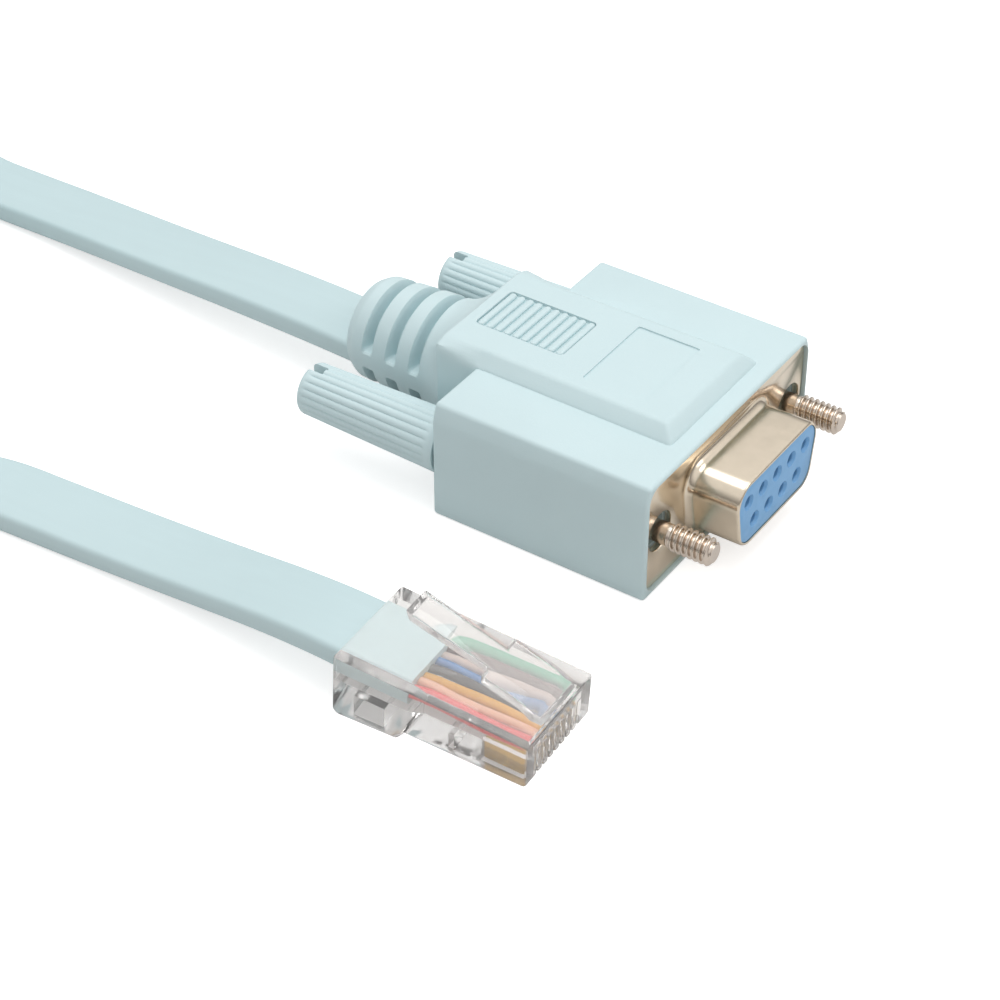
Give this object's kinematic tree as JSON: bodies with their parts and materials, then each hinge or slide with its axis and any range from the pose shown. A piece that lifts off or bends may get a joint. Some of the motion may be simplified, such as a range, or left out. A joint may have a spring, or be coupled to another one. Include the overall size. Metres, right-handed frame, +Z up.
{
  "type": "serial console cable",
  "caption": "Flat console cable with a moulded D connector with thumbscrews at one end and a clear modular plug at the other, its spare length coiled.",
  "frame": {"origin": "on the floor, under the middle of the D connector with its strain relief and screws", "axes": "+X the way the D connector mates, +Y across it, +Z up"},
  "size_m": [0.1984, 0.0954, 0.0169],
  "materials": {
    "hood_vinyl": "satin",
    "cable_vinyl": "satin",
    "nickel_plate": "satin",
    "screw_steel": "satin",
    "blue_insulator": "satin",
    "gilt_contact": "polished",
    "clear_plastic": "clear, glossy",
    "core_red": "satin",
    "core_orange": "satin",
    "core_yellow": "satin",
    "core_black": "satin",
    "core_blue": "satin",
    "core_grey": "satin",
    "core_brown": "satin",
    "core_green": "satin"
  },
  "bodies": {
    "cable": {"hood": "hood_vinyl", "metal_shell": "nickel_plate", "insulator": "blue_insulator", "socket_contact_1": "gilt_contact", "socket_contact_2": "gilt_contact", "socket_contact_3": "gilt_contact", "socket_contact_4": "gilt_contact", "socket_contact_5": "gilt_contact", "socket_contact_6": "gilt_contact", "socket_contact_7": "gilt_contact", "socket_contact_8": "gilt_contact", "socket_contact_9": "gilt_contact", "plug_contact_1": "gilt_contact", "plug_contact_2": "gilt_contact", "plug_contact_3": "gilt_contact", "plug_contact_4": "gilt_contact", "plug_contact_5": "gilt_contact", "plug_contact_6": "gilt_contact", "plug_contact_7": "gilt_contact", "plug_contact_8": "gilt_contact", "cable_hood_run": "cable_vinyl", "cable_coil": "cable_vinyl", "cable_plug_run": "cable_vinyl", "plug_body": "clear_plastic", "core_1_red": "core_red", "core_2_orange": "core_orange", "core_3_yellow": "core_yellow", "core_4_black": "core_black", "core_5_blue": "core_blue", "core_6_grey": "core_grey", "core_7_brown": "core_brown", "core_8_green": "core_green"},
    "thumbscrew_near": {"thumbscrew_head_near": "hood_vinyl", "thumbscrew_screw_near": "screw_steel"},
    "thumbscrew_far": {"thumbscrew_head_far": "hood_vinyl", "thumbscrew_screw_far": "screw_steel"},
    "latch": {"plug_latch": "clear_plastic"}
  },
  "joints": [
    {"name": "thumbscrew_near_turn", "type": "hinge", "parent": "cable", "child": "thumbscrew_near", "pos_m": [-0.00622, -0.01249, 0.0066], "axis": [1, 0, 0], "continuous": true},
    {"name": "thumbscrew_far_turn", "type": "hinge", "parent": "cable", "child": "thumbscrew_far", "pos_m": [-0.00622, 0.01249, 0.0066], "axis": [1, 0, 0], "continuous": true},
    {"name": "latch_press", "type": "hinge", "parent": "cable", "child": "latch", "pos_m": [0.02283, -0.03802, 0.0061], "axis": [0.0541, -0.9985, 0], "range_deg": [0, 12], "stiffness_Nm_per_rad": 0.2}
  ]
}
